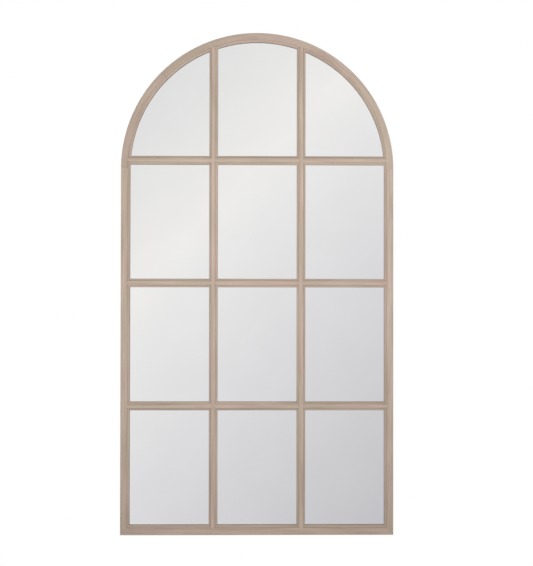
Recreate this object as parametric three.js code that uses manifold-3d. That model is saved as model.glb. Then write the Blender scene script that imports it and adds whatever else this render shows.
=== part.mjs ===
// An arched wall mirror glazed like a twelve-light window.
//
// A mitred and arched wooden frame is rabbeted at the back for one sheet of mirror. Two upright
// and three cross bars lie on the front of the glass, halved over each other at their crossings,
// and their ends are let into housings of the bars' own section in the frame's lip. A packing
// sheet and a backing board hold the glass in, and two strap hangers with D-rings carry it all.
//
// Millimetres. X runs to the right, Y back to the wall, Z up. The wall is the plane y = 0, and
// the origin lies midway between the two wall hooks, where the raised D-rings hang on them.

import * as THREE from "three";
import { mergeVertices } from "three/addons/utils/BufferGeometryUtils.js";
import Module from "manifold-3d";

const wasm = await Module();
wasm.setup();

// ---------------------------------------------------------------- driving dimensions

// The whole mirror
const overallWidth = 760;
const overallHeight = 1400;
const hookDrop = 60; // from the arch's springing line down to the wall hooks

// Frame moulding, in section: a flat face, a quirk, a bevel and a short wall down to the glass
const stileWidth = 24.8;
const railWidth = 27; // the bottom rail shows a little wider than the stiles and the arch
const quirkDepth = 0.8;
const bevelWidth = 6.5; // the glazing bars' bevels are as wide
const bevelDrop = 5;
const wallDepth = 4.7;
const lipWidth = 9;
const arrisRadius = 1.5;
const cornerRadius = 1.5;

// Glazing bars
const columns = 3;
const rows = 4;
const barWidth = 24;

// Sheets behind the bars
const glassThickness = 4;
const glassClearance = 1;
const packingThickness = 2.5;
const boardThickness = 3;
const boardInset = 4;

// Glued joints
const glueLine = 0.2;
const archSegments = 4;
const tongueThickness = 3;
const tongueWidth = 11;
const tongueLength = 22;
const tongueInset = 9; // from the outer edge to the tongue's middle
const tongueDepth = 6; // from the face to the tongue's middle
const mitreTongueLength = 9;

// Screws
const screwRadius = 1.6;
const screwHeadRadius = 3.4;
const screwHeadHeight = 2;
const screwHeadRim = 0.7;
const screwPointLength = 2.4;
const screwHoleClearance = 0.2;
const backingScrewLength = 12;
const backingScrewInset = 9.5;
const stileScrews = 4;
const railScrews = 2;
const railScrewSpacing = 290;
const lowestScrewHeight = 35;
const strapToScrew = 20; // from a strap's lower end down to the next backing screw

// Hangers
const strapWidth = 12;
const strapThickness = 1.2;
const strapLength = 42; // from the pin line to the round lower end
const strapInset = 11; // from the frame's outer edge to the strap's middle
const strapScrewLength = 12;
const strapScrewDrops = [22, 36]; // below the pin line
const wireRadius = 1.25;
const pinClearance = 0.3;
const knuckleSlit = 0.3;
const ringWidth = 17; // between the wire's centre lines
const ringHeight = 14.5;
const ringCornerRadius = 2;

// Bumpers
const knuckleToWall = 0.5; // what the bumpers leave between the knuckles and the wall
const bumperRadius = 6;
const bumperFaceRadius = 4.5;
const bumperInset = 18; // from the frame's outer edges to the bumper's middle

// Fineness
const circleSteps = 192;
const arrisSteps = 3;
const cornerSteps = 4;
const screwSides = 12;
const screwDomeSteps = 3;
const bumperSides = 24;
const curlSteps = 9;
const wireSides = 8;
const wireArcSteps = 5;
const overcut = 1; // how far a cutter runs past what it cuts

// ---------------------------------------------------------------- derived planes and places

const knuckleInner = wireRadius + pinClearance;
const knuckleOuter = knuckleInner + strapThickness;
const bumperHeight = 2 * knuckleOuter + knuckleToWall;
const barThickness = quirkDepth + bevelDrop + wallDepth;
const frameDepth = barThickness + glassThickness + packingThickness;
const boardBack = -bumperHeight;
const frameBack = boardBack - boardThickness;
const frameFront = frameBack - frameDepth;
const glassFront = frameFront + barThickness;
const glassBack = glassFront + glassThickness;
const halfWidth = overallWidth / 2;
const springing = hookDrop;
const bottom = springing + halfWidth - overallHeight;
const flatWidth = stileWidth - bevelWidth;
const barFlatWidth = barWidth - 2 * bevelWidth;
const railStretch = railWidth / stileWidth;
const rabbetWall = stileWidth - lipWidth;
const lapDepth = quirkDepth + bevelDrop;
const strapBack = boardBack + strapThickness;
const hangerX = halfWidth - strapInset;
const pinY = boardBack + knuckleOuter;
const pinZ = wireRadius - ringHeight; // a raised ring bears on its hook at the origin's height
const paneWidth = (overallWidth - 2 * stileWidth - (columns - 1) * barWidth) / columns;
const paneHeight =
  (overallHeight - railWidth - stileWidth - (rows - 1) * barWidth) / rows;

// The middle lines of the upright bars, from left to right.
const uprightPlaces = Array.from(
  { length: columns - 1 },
  (_, i) => -halfWidth + stileWidth + (i + 1) * (paneWidth + barWidth) - barWidth / 2,
);

// The middle lines of the cross bars, from the bottom up.
const crossPlaces = Array.from(
  { length: rows - 1 },
  (_, i) => bottom + railWidth + (i + 1) * (paneHeight + barWidth) - barWidth / 2,
);

// ---------------------------------------------------------------- materials

function finish(color, roughness, metalness) {
  return new THREE.MeshStandardMaterial({ color, roughness, metalness });
}

const whitewashedWood = finish(0xbda998, 0.65, 0);
const rawWood = finish(0xcdb08a, 0.75, 0);
const mirrorGlass = finish(0xdcdedd, 0.04, 1);
const packingFoam = finish(0xe8e6e0, 0.95, 0);
const hardboard = finish(0x6b4b35, 0.8, 0);
const zincedSteel = finish(0xc3c4c2, 0.35, 1);
const blackRubber = finish(0x232323, 0.85, 0);

// ---------------------------------------------------------------- solids

// A closed geometry as a solid that can be cut and joined.
function solidOf(geometry) {
  const bare = geometry.clone();
  bare.deleteAttribute("normal");
  bare.deleteAttribute("uv");
  const merged = mergeVertices(bare, 1e-4);
  return new wasm.Manifold(
    new wasm.Mesh({
      numProp: 3,
      vertProperties: merged.attributes.position.array,
      triVerts: new Uint32Array(merged.index.array),
    }),
  );
}

// A solid's surface as a geometry.
function geometryOf(solid) {
  const mesh = solid.getMesh();
  const geometry = new THREE.BufferGeometry();
  geometry.setAttribute("position", new THREE.BufferAttribute(mesh.vertProperties, 3));
  geometry.setIndex(new THREE.BufferAttribute(mesh.triVerts, 1));
  geometry.computeVertexNormals();
  return geometry;
}

function joined(solids) {
  return solids.reduce((all, solid) => all.add(solid));
}

// A shape from plain corner points.
function polygon(corners) {
  return new THREE.Shape(corners.map(([a, b]) => new THREE.Vector2(a, b)));
}

function extruded(shape, depth, curveSegments) {
  return new THREE.ExtrudeGeometry(shape, { depth, bevelEnabled: false, curveSegments });
}

// The matrix that lays a drawing's two axes and its depth along three directions.
function axes(across, along, depth) {
  const directions = [across, along, depth].map((direction) => new THREE.Vector3(...direction));
  return new THREE.Matrix4().makeBasis(...directions);
}

const sideView = axes([0, 1, 0], [0, 0, 1], [1, 0, 0]);
const frontView = axes([1, 0, 0], [0, 0, 1], [0, -1, 0]);

// A section drawn as (x, y) that runs up from one height to another.
function upright(shape, from, to) {
  return solidOf(extruded(shape, to - from, 1).translate(0, 0, from));
}

// A section drawn in the side view as (y, z) that runs right from one place to another.
function level(shape, from, to, curveSegments) {
  const geometry = extruded(shape, to - from, curveSegments);
  return solidOf(geometry.applyMatrix4(sideView).translate(from, 0, 0));
}

// An outline drawn in the front view as (x, z), from its front plane back to its back plane.
function plate(shape, front, back, curveSegments = circleSteps / 4) {
  const geometry = extruded(shape, back - front, curveSegments);
  return solidOf(geometry.applyMatrix4(frontView).translate(0, back, 0));
}

// The window's outline, drawn in from the outer edge, with its own inset at the sill.
function windowOutline(inset, sillInset) {
  const half = halfWidth - inset;
  const sill = bottom + sillInset;
  const outline = new THREE.Shape();
  outline.moveTo(-half, sill);
  outline.lineTo(half, sill);
  outline.lineTo(half, springing);
  outline.absarc(0, springing, half, 0, Math.PI, false);
  return outline;
}

// ---------------------------------------------------------------- frame sections

// The moulding's section as [in from the outer edge, back from the face]. A stretch above 1
// widens it, so that a wider member still meets a narrower one line for line on the mitre.
function mouldingProfile(stretch) {
  const arris = Array.from({ length: arrisSteps + 1 }, (_, i) => {
    const turn = (i / arrisSteps) * (Math.PI / 2);
    return [arrisRadius * (1 - Math.cos(turn)), arrisRadius * (1 - Math.sin(turn))];
  });
  const profile = [
    [0, frameDepth],
    ...arris,
    [flatWidth, 0],
    [flatWidth, quirkDepth],
    [stileWidth, lapDepth],
    [stileWidth, barThickness],
    [rabbetWall, barThickness],
    [rabbetWall, frameDepth],
  ];
  return profile.map(([inward, back]) => [inward * stretch, back]);
}

// A bar's section as [sideways from its middle line, back from the face]. A clearance gives the
// housing or notch that such a bar drops into: open to the front and to the back.
function barProfile(clearance = 0) {
  const half = barWidth / 2;
  const halfFlat = barFlatWidth / 2;
  const slope = bevelDrop / (half - halfFlat);
  const lift = clearance * Math.hypot(1, slope);
  const bevelAt = (side) => quirkDepth + (side - halfFlat) * slope - lift;
  const top = clearance ? -overcut : 0;
  const back = clearance ? frameDepth + overcut : barThickness;
  const right = [
    [halfFlat + clearance, top],
    [halfFlat + clearance, bevelAt(halfFlat + clearance)],
    [half + clearance, bevelAt(half + clearance)],
    [half + clearance, back],
  ];
  const left = right.map(([side, depth]) => [-side, depth]).reverse();
  return [...right, ...left];
}

// ---------------------------------------------------------------- glazing bars

function uprightBar(place, clearance) {
  const section = barProfile(clearance).map(([side, back]) => [place + side, frameFront + back]);
  return upright(polygon(section), bottom, bottom + overallHeight);
}

function crossBar(height, clearance) {
  const section = barProfile(clearance).map(([side, back]) => [frameFront + back, height + side]);
  return level(polygon(section), -halfWidth, halfWidth);
}

// The middle of an upright bar in front of the halving plane, as wide as its flat.
function uprightCore(place, clearance) {
  const half = barFlatWidth / 2 + clearance;
  const core = [
    [place - half, frameFront - 2 * overcut],
    [place + half, frameFront - 2 * overcut],
    [place + half, frameFront + lapDepth],
    [place - half, frameFront + lapDepth],
  ];
  return upright(polygon(core), bottom, bottom + overallHeight);
}

// What a bar may fill: it ends where the frame's flat begins.
const barReach = plate(
  windowOutline(flatWidth, flatWidth * railStretch),
  frameFront - overcut,
  frameBack,
);

// A cross bar keeps its back layer whole and gives way to the upright bars' cores in front.
function halvedCrossBar(height) {
  const cores = joined(uprightPlaces.map((place) => uprightCore(place, glueLine)));
  return crossBar(height).subtract(cores).intersect(barReach);
}

// An upright bar keeps its core whole and is notched from behind, to the cross bars' section.
function halvedUprightBar(place) {
  const notches = joined(crossPlaces.map((height) => crossBar(height, glueLine)));
  return uprightBar(place)
    .subtract(notches.subtract(uprightCore(place, 0)))
    .intersect(barReach);
}

// The housings that take the bars' ends, in the lip of the frame and open to the back.
function barHousings() {
  const reach = plate(
    windowOutline(flatWidth - glueLine, flatWidth * railStretch - glueLine),
    frameFront - 2 * overcut,
    frameBack + 2 * overcut,
  );
  const uprights = uprightPlaces.map((place) => uprightBar(place, glueLine));
  const crosses = crossPlaces.map((height) => crossBar(height, glueLine));
  return joined([...uprights, ...crosses]).intersect(reach);
}

// ---------------------------------------------------------------- loose tongues

// Where two members of the frame meet. The turn points along the joint, from outside to inside
// the frame, as an angle in the front view.
function jointSites() {
  const mitre = Math.atan2(railWidth, stileWidth);
  const foot = (name, side, turn) => ({
    name,
    turn,
    length: mitreTongueLength,
    x: side * (halfWidth - tongueInset),
    z: bottom + tongueInset * railStretch,
  });
  const archRadius = halfWidth - tongueInset;
  const arch = Array.from({ length: archSegments + 1 }, (_, i) => {
    const turn = (i / archSegments) * Math.PI;
    return {
      name: "arch_joint_" + (i + 1),
      turn,
      length: tongueLength,
      x: archRadius * Math.cos(turn),
      z: springing + archRadius * Math.sin(turn),
    };
  });
  return [foot("left_mitre", -1, mitre), foot("right_mitre", 1, Math.PI - mitre), ...arch];
}

function tongueGeometry(site, clearance) {
  return new THREE.BoxGeometry(
    tongueWidth + 2 * clearance,
    tongueThickness + 2 * clearance,
    site.length + 2 * clearance,
  );
}

function tongue(site, clearance = 0) {
  const mesh = new THREE.Mesh(tongueGeometry(site, clearance), rawWood);
  mesh.name = "tongue_" + site.name;
  mesh.position.set(site.x, frameFront + tongueDepth, site.z);
  mesh.rotation.y = -site.turn;
  return mesh;
}

function tongueSlots() {
  const slots = jointSites().map((site) => {
    const slot = tongue(site, glueLine);
    slot.updateMatrix();
    return solidOf(slot.geometry.applyMatrix4(slot.matrix));
  });
  return joined(slots);
}

// ---------------------------------------------------------------- fasteners

// A pan-head wood screw along Y, its seat at the origin and its point to the front.
function screwGeometry(length) {
  const dome = Array.from({ length: screwDomeSteps + 1 }, (_, i) => {
    const turn = (i / screwDomeSteps) * (Math.PI / 2);
    const rise = (screwHeadHeight - screwHeadRim) * Math.sin(turn);
    return [i < screwDomeSteps ? screwHeadRadius * Math.cos(turn) : 0, screwHeadRim + rise];
  });
  const profile = [
    [0, -length],
    [screwRadius, screwPointLength - length],
    [screwRadius, 0],
    [screwHeadRadius, 0],
    ...dome,
  ];
  const points = profile.map(([radius, y]) => new THREE.Vector2(radius, y));
  return new THREE.LatheGeometry(points, screwSides);
}

// The hole for a screw, through all that lies in front of its seat.
function screwHole(x, z, seat, length) {
  const hole = new THREE.CylinderGeometry(
    screwRadius + screwHoleClearance,
    screwRadius + screwHoleClearance,
    length + 2 * overcut,
    screwSides,
  );
  return solidOf(hole.translate(x, seat - length / 2, z));
}

// Around the frame: up each stile, at the middle of each arch segment and along the rail.
function backingScrewPlaces() {
  const side = halfWidth - backingScrewInset;
  const lowest = bottom + lowestScrewHeight;
  const highest = pinZ - strapLength - strapToScrew;
  const places = [];
  for (let i = 0; i < stileScrews; i += 1) {
    const z = lowest + (i / (stileScrews - 1)) * (highest - lowest);
    places.push([-side, z], [side, z]);
  }
  for (let i = 0; i < archSegments; i += 1) {
    const angle = ((i + 0.5) / archSegments) * Math.PI;
    places.push([side * Math.cos(angle), springing + side * Math.sin(angle)]);
  }
  for (let i = 0; i < railScrews; i += 1) {
    const x = (i - (railScrews - 1) / 2) * railScrewSpacing;
    places.push([x, bottom + backingScrewInset]);
  }
  return places;
}

// ---------------------------------------------------------------- hangers

// The rolled knuckle in side view, as (y, z): up from a short leg, over the pin and round.
function knuckleOutline() {
  const legLength = 2 * strapThickness;
  const end = -Math.acos(-(knuckleOuter - strapThickness - knuckleSlit) / knuckleOuter);
  const outline = new THREE.Shape();
  outline.moveTo(boardBack, pinZ - legLength);
  outline.lineTo(boardBack, pinZ);
  outline.absarc(pinY, pinZ, knuckleOuter, Math.PI, end, true);
  outline.absarc(pinY, pinZ, knuckleInner, end, Math.PI, false);
  outline.lineTo(strapBack, pinZ - legLength);
  return outline;
}

// The strap's flat leg in the front view, with a round lower end and a hole for each screw.
function strapOutline() {
  const half = strapWidth / 2;
  const endZ = pinZ - strapLength + half;
  const outline = new THREE.Shape();
  outline.moveTo(half, endZ);
  outline.lineTo(half, pinZ);
  outline.lineTo(-half, pinZ);
  outline.lineTo(-half, endZ);
  outline.absarc(0, endZ, half, Math.PI, 2 * Math.PI, false);
  strapScrewDrops.forEach((drop) => {
    const hole = new THREE.Path();
    hole.absarc(0, pinZ - drop, screwRadius + screwHoleClearance, 0, 2 * Math.PI, true);
    outline.holes.push(hole);
  });
  return outline;
}

function hangerStrap() {
  const leg = plate(strapOutline(), boardBack, strapBack, screwSides / 2);
  const knuckle = level(knuckleOutline(), -strapWidth / 2, strapWidth / 2, curlSteps);
  return geometryOf(leg.add(knuckle));
}

// The D-ring's centre line, hanging from the pin line at the origin.
function ringPath() {
  const half = ringWidth / 2;
  const corner = ringCornerRadius;
  const path = new THREE.Path();
  path.moveTo(corner - half, 0);
  path.lineTo(half - corner, 0);
  path.absarc(half - corner, -corner, corner, Math.PI / 2, 0, true);
  path.lineTo(half, half - ringHeight);
  path.absarc(0, half - ringHeight, half, 0, -Math.PI, true);
  path.lineTo(-half, -corner);
  path.absarc(corner - half, -corner, corner, Math.PI, Math.PI / 2, true);
  return path;
}

// A round wire bent along a closed path in the plane y = 0.
function ringGeometry() {
  const points = ringPath().getPoints(wireArcSteps);
  if (points[0].distanceTo(points.at(-1)) < 1e-6) {
    points.pop();
  }
  const positions = [];
  const index = [];
  points.forEach((point, i) => {
    const before = points.at(i - 1);
    const after = points[(i + 1) % points.length];
    const outward = new THREE.Vector2().subVectors(after, before).normalize();
    outward.set(-outward.y, outward.x);
    for (let j = 0; j < wireSides; j += 1) {
      const turn = (j / wireSides) * 2 * Math.PI;
      const reach = wireRadius * Math.cos(turn);
      positions.push(point.x + outward.x * reach, wireRadius * Math.sin(turn));
      positions.push(point.y + outward.y * reach);
      const next = (j + 1) % wireSides;
      const here = i * wireSides;
      const there = ((i + 1) % points.length) * wireSides;
      index.push(here + j, there + j, there + next);
      index.push(here + j, there + next, here + next);
    }
  });
  const geometry = new THREE.BufferGeometry();
  geometry.setAttribute("position", new THREE.Float32BufferAttribute(positions, 3));
  geometry.setIndex(index);
  geometry.computeVertexNormals();
  return geometry;
}

// Every screw of the object: its name, its place in the back view, its seat and its length.
function allScrews() {
  const backing = backingScrewPlaces().map(([x, z], i) => ({
    name: "backing_screw_" + String(i + 1).padStart(2, "0"),
    x,
    z,
    seat: boardBack,
    length: backingScrewLength,
  }));
  const hanger = ["left", "right"].flatMap((side) =>
    strapScrewDrops.map((drop, i) => ({
      name: side + "_hanger_screw_" + (i + 1),
      x: side === "left" ? -hangerX : hangerX,
      z: pinZ - drop,
      seat: strapBack,
      length: strapScrewLength,
    })),
  );
  return [...backing, ...hanger];
}

function screwHoles() {
  return joined(allScrews().map(({ x, z, seat, length }) => screwHole(x, z, seat, length)));
}

// ---------------------------------------------------------------- frame members

// The front-view zone of the bottom rail: everything under the two mitre lines.
function railZone(clearance) {
  const run = stileWidth / railWidth;
  const shift = clearance * Math.hypot(1, run);
  const low = -2 * overcut;
  const high = railWidth + 2 * overcut;
  const edge = (height) => halfWidth - height * run + shift;
  const zone = [
    [-edge(low), bottom + low],
    [edge(low), bottom + low],
    [edge(high), bottom + high],
    [-edge(high), bottom + high],
  ];
  return plate(polygon(zone), frameFront - overcut, frameBack + overcut);
}

// What the rounding takes off one lower corner of the frame.
function cornerWaste(side) {
  const x = (inward) => side * (halfWidth - inward);
  const arc = Array.from({ length: cornerSteps + 1 }, (_, i) => {
    const turn = (i / cornerSteps) * (Math.PI / 2);
    return [
      x(cornerRadius * (1 - Math.sin(turn))),
      bottom + cornerRadius * (1 - Math.cos(turn)),
    ];
  });
  const waste = [
    [x(-overcut), bottom - overcut],
    [x(cornerRadius), bottom - overcut],
    ...arc,
    [x(-overcut), bottom + cornerRadius],
  ];
  return plate(polygon(waste), frameFront - overcut, frameBack + overcut);
}

function stile(side) {
  const section = mouldingProfile(1).map(([inward, back]) => [
    side * (halfWidth - inward),
    frameFront + back,
  ]);
  return upright(polygon(section), bottom, springing)
    .subtract(railZone(glueLine))
    .subtract(cornerWaste(side));
}

function bottomRail() {
  const section = mouldingProfile(railStretch).map(([inward, back]) => [
    frameFront + back,
    bottom + inward,
  ]);
  return level(polygon(section), -halfWidth, halfWidth)
    .intersect(railZone(0))
    .subtract(cornerWaste(-1))
    .subtract(cornerWaste(1));
}

// The moulding turned into a whole ring about the arch's centre.
function archRing() {
  const profile = mouldingProfile(1);
  const points = [...profile, profile[0]].map(
    ([inward, back]) => new THREE.Vector2(halfWidth - inward, frameFront + back),
  );
  const ring = new THREE.LatheGeometry(points.reverse(), circleSteps);
  return solidOf(ring.translate(0, 0, springing));
}

// One segment of the ring. Joints that aren't level or upright leave room for their glue line.
function archSegment(ring, index) {
  const corner = (joint, side, radius) => {
    const angle = (joint / archSegments) * Math.PI;
    const square = (2 * joint) % archSegments === 0;
    const inset = square ? 0 : (side * glueLine) / 2;
    return [
      radius * Math.cos(angle) - inset * Math.sin(angle),
      springing + radius * Math.sin(angle) + inset * Math.cos(angle),
    ];
  };
  const near = halfWidth / 2;
  const far = halfWidth * 2;
  const wedge = [
    corner(index, 1, near),
    corner(index, 1, far),
    corner(index + 1, -1, far),
    corner(index + 1, -1, near),
  ];
  return ring.intersect(plate(polygon(wedge), frameFront - overcut, frameBack + overcut));
}

// The frame's members by name, cut for the bars' ends, the tongues and the screws.
function frameMembers() {
  const members = [
    ["left_stile", stile(-1)],
    ["right_stile", stile(1)],
    ["bottom_rail", bottomRail()],
  ];
  const ring = archRing();
  for (let i = 0; i < archSegments; i += 1) {
    members.push(["arch_segment_" + (i + 1), archSegment(ring, i)]);
  }
  const cuts = joined([barHousings(), tongueSlots(), screwHoles()]);
  return members.map(([name, solid]) => [name, solid.subtract(cuts)]);
}

// ---------------------------------------------------------------- the assembly

const mirror = new THREE.Group();
mirror.name = "arched_window_mirror";

function addPiece(name, geometry, material, parent = mirror) {
  const mesh = new THREE.Mesh(geometry, material);
  mesh.name = name;
  parent.add(mesh);
  return mesh;
}

function addFrame() {
  frameMembers().forEach(([name, solid]) => addPiece(name, geometryOf(solid), whitewashedWood));
  jointSites().forEach((site) => mirror.add(tongue(site)));
}

function addBars() {
  uprightPlaces.forEach((place, i) => {
    addPiece("upright_bar_" + (i + 1), geometryOf(halvedUprightBar(place)), whitewashedWood);
  });
  crossPlaces.forEach((height, i) => {
    addPiece("cross_bar_" + (i + 1), geometryOf(halvedCrossBar(height)), whitewashedWood);
  });
}

// The glass stands on the sill of the rabbet and is clear of it all round.
function addSheets() {
  const sheet = windowOutline(rabbetWall + glassClearance, rabbetWall * railStretch);
  const board = plate(windowOutline(boardInset, boardInset), frameBack, boardBack);
  addPiece("mirror_plate", geometryOf(plate(sheet, glassFront, glassBack)), mirrorGlass);
  addPiece("packing_sheet", geometryOf(plate(sheet, glassBack, frameBack)), packingFoam);
  addPiece("backing_board", geometryOf(board.subtract(screwHoles())), hardboard);
}

function addScrews() {
  allScrews().forEach(({ name, x, z, seat, length }) => {
    const screw = addPiece(name, screwGeometry(length), zincedSteel);
    screw.position.set(x, seat, z);
  });
}

function addHangers() {
  ["left", "right"].forEach((side) => {
    const hanger = new THREE.Group();
    hanger.position.x = side === "left" ? -hangerX : hangerX;
    addPiece(side + "_hanger_strap", hangerStrap(), zincedSteel, hanger);
    const ring = addPiece(side + "_d_ring", ringGeometry(), zincedSteel, hanger);
    ring.position.set(0, pinY, pinZ);
    mirror.add(hanger);
  });
}

// A bumper is a low cone of rubber with a flat face to the wall.
function addBumpers() {
  ["left", "right"].forEach((side) => {
    const cone = new THREE.CylinderGeometry(
      bumperFaceRadius,
      bumperRadius,
      bumperHeight,
      bumperSides,
    );
    const bumper = addPiece(side + "_bumper", cone, blackRubber);
    const x = halfWidth - bumperInset;
    bumper.position.set(side === "left" ? -x : x, boardBack + bumperHeight / 2, bottom + bumperInset);
  });
}

addFrame();
addBars();
addSheets();
addScrews();
addHangers();
addBumpers();

export default mirror;
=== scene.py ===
"""Arched window mirror, dressed.

Mitred and arched members of whitewashed wood, glazing bars halved over each other, a silvered
glass, a hardboard back with its screws, strap hangers with D-rings and rubber bumpers. Metres,
X to the right, Y back to the wall, Z up. The wall is the plane y = 0.
"""

import math

import bmesh
import bpy
from bpy.props import FloatProperty, FloatVectorProperty, IntProperty, PointerProperty
from mathutils import Matrix, Vector


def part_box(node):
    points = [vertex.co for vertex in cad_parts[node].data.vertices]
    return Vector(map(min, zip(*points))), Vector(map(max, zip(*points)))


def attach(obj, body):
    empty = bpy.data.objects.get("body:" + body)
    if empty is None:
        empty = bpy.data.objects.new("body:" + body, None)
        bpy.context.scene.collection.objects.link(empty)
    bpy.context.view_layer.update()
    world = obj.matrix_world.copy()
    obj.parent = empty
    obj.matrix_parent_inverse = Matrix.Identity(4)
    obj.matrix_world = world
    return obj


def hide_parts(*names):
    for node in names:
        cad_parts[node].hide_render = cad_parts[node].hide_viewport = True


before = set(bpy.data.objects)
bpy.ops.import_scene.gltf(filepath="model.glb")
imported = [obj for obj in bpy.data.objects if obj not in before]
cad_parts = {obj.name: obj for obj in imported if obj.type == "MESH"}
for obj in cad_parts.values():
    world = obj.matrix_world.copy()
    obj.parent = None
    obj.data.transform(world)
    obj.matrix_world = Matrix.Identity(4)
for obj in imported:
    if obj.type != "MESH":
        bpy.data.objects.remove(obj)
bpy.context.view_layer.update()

bl_info = {
    "name": "Arched Window Mirror",
    "version": (1, 0, 0),
    "blender": (4, 5, 0),
    "location": "View3D > Sidebar > Window Mirror",
    "description": "Makes the wood, the glass and the fittings of an arched window mirror",
    "category": "Add Mesh",
}

MM = 0.001
TOUCHING = 0.01 * MM  # points closer than this are one
SHARP_ABOVE = math.radians(40)  # edges that turn by more are rounded
SMOOTH_BELOW = math.radians(50)  # edges that turn by less are shaded smooth

# ---- what the frame gives


def span(node, axis):
    """Where a node begins and ends along an axis."""
    low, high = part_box(node)
    return low[axis], high[axis]


def middle(node, axis):
    return sum(span(node, axis)) / 2


def extent(node, axis):
    low, high = span(node, axis)
    return high - low


X, Y, Z = range(3)
HALF_WIDTH = span("right_stile", X)[1]
SILL = span("bottom_rail", Z)[0]
SPRINGING = span("left_stile", Z)[1]
CROWN = SPRINGING + HALF_WIDTH
FACE = span("left_stile", Y)[0]
GLASS_FRONT = span("mirror_plate", Y)[0]
FRAME_BACK = span("backing_board", Y)[0]
UPRIGHTS = [middle("upright_bar_%d" % i, X) for i in (1, 2)]
CROSSES = [middle("cross_bar_%d" % i, Z) for i in (1, 2, 3)]
ARCH_SEGMENTS = 4
HEART = 20 * MM  # where a bar's middle line lies across the grain, as in from a frame's edge
# How far along its plank each member was cut, in metres, so that no two show the same grain.
CUT_AT = {
    "left_stile": 5.69,
    "right_stile": 10.51,
    "bottom_rail": 19.01,
    "arch_segment_1": 24.61,
    "arch_segment_2": 27.2,
    "arch_segment_3": 32.5,
    "arch_segment_4": 37.8,
    "cross_bar_1": 49.43,
    "cross_bar_2": 55.07,
    "cross_bar_3": 59.77,
    "upright_bar_1": 69.89,
    "upright_bar_2": 76.59,
}
# How much more stain a member took than the others.
STAINED = {"arch_segment_2": 0.06, "arch_segment_3": 0.16, "arch_segment_4": 0.16}
RING_BODIES = {"left": "left_ring", "right": "right_ring"}
SCREWS = sorted(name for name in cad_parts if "_screw_" in name)
SCREW_TURN = 2.4  # radians between one screw's recess and the next one's
# Sides of what is round, and steps of what is bent.
HOLE_SIDES, HEAD_SIDES, WIRE_SIDES, BUMPER_SIDES, STRAP_END_SIDES = 24, 40, 20, 48, 64
KNUCKLE_STEPS, RING_CORNER_STEPS, RING_BOW_STEPS = 30, 8, 32
FLOOR_SIDES = 96

# ---- sizes and colours


def length(name, description, default):
    return FloatProperty(
        name=name,
        description=description,
        default=default,
        min=0.0,
        precision=5,
        subtype="DISTANCE",
        unit="LENGTH",
    )


def colour(name, description, default):
    return FloatVectorProperty(
        name=name,
        description=description,
        default=default,
        min=0.0,
        max=1.0,
        size=3,
        subtype="COLOR",
    )


def number(name, description, default, unit="NONE", least=0.0):
    return FloatProperty(
        name=name, description=description, default=default, min=least, unit=unit
    )


def count(name, description, default, least):
    return IntProperty(name=name, description=description, default=default, min=least)


class MouldingSizes(bpy.types.PropertyGroup):
    """The frame's moulding in section."""

    stile_width: length(
        "Stile width", "Face of a stile and of the arch", extent("left_stile", X)
    )
    rail_width: length("Rail width", "Face of the bottom rail", extent("bottom_rail", Z))
    bevel_width: length("Bevel width", "From the quirk to the glass opening", 6.5 * MM)
    quirk_depth: length("Quirk depth", "Step between the flat and the bevel", 0.8 * MM)
    bevel_drop: length("Bevel drop", "What the bevel falls towards the glass", 5.0 * MM)
    lip_width: length("Lip width", "What the lip covers of the glass and its gap", 9.0 * MM)
    arris_radius: length("Arris radius", "Rounding of the outer edge", 1.5 * MM)
    corner_radius: length("Corner radius", "Rounding of the two lower corners", 1.5 * MM)
    softening: length("Softening", "Rounding of every other edge that shows", 0.35 * MM)
    glue_line: length("Glue line", "Gap that a joint keeps", 0.2 * MM)
    arch_steps: count("Arch steps", "Steps round one segment of the arch", 64, 8)


class BarSizes(bpy.types.PropertyGroup):
    """The glazing bars in section."""

    width: length("Bar width", "Over both bevels", extent("upright_bar_1", X))
    bevel_width: length("Bar bevel width", "Of each bevel of a bar", 6.5 * MM)


class SheetSizes(bpy.types.PropertyGroup):
    """The sheets behind the bars."""

    board_softening: length("Board softening", "Rounding of the board's edges", 0.5 * MM)
    glass_arris: length("Glass arris", "Ground edge of the glass", 0.5 * MM)
    outline_steps: count("Outline steps", "Steps round a full circle of an outline", 256, 32)


class FittingSizes(bpy.types.PropertyGroup):
    """Screws, hangers and bumpers."""

    shank_radius: length("Shank radius", "Plain part of a screw", 1.6 * MM)
    hole_clearance: length("Hole clearance", "Between a shank and its hole", 0.2 * MM)
    head_height: length("Head height", "Of a pan head", 2.0 * MM)
    head_rounding: length("Head rounding", "Rounding of a pan head", 1.25 * MM)
    recess_arm: length("Recess arm", "From the middle to the end of one slot", 2.0 * MM)
    recess_width: length("Recess width", "Across one slot", 0.9 * MM)
    recess_depth: length("Recess depth", "Down to the bottom of the slots", 1.3 * MM)
    strap_thickness: length("Strap thickness", "Of the steel strip", 1.2 * MM)
    strap_softening: length("Strap softening", "Rounding of the strip's edges", 0.2 * MM)
    wire_radius: length("Wire radius", "Of the D-ring's wire", 1.25 * MM)
    ring_corner: length("Ring corner", "Bend at the D-ring's corners", 2.0 * MM)
    pin_clearance: length("Pin clearance", "Between the wire and the knuckle", 0.3 * MM)
    knuckle_slit: length("Knuckle slit", "Where the roll meets the strap again", 0.3 * MM)
    butt_gap: length("Butt gap", "Between the two ends of the D-ring's wire", 0.2 * MM)
    bumper_rounding: length("Bumper rounding", "Rounding of a bumper's rims", 0.7 * MM)
    bumper_taper: number("Bumper taper", "A bumper's rear face by its front one", 0.75)


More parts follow.
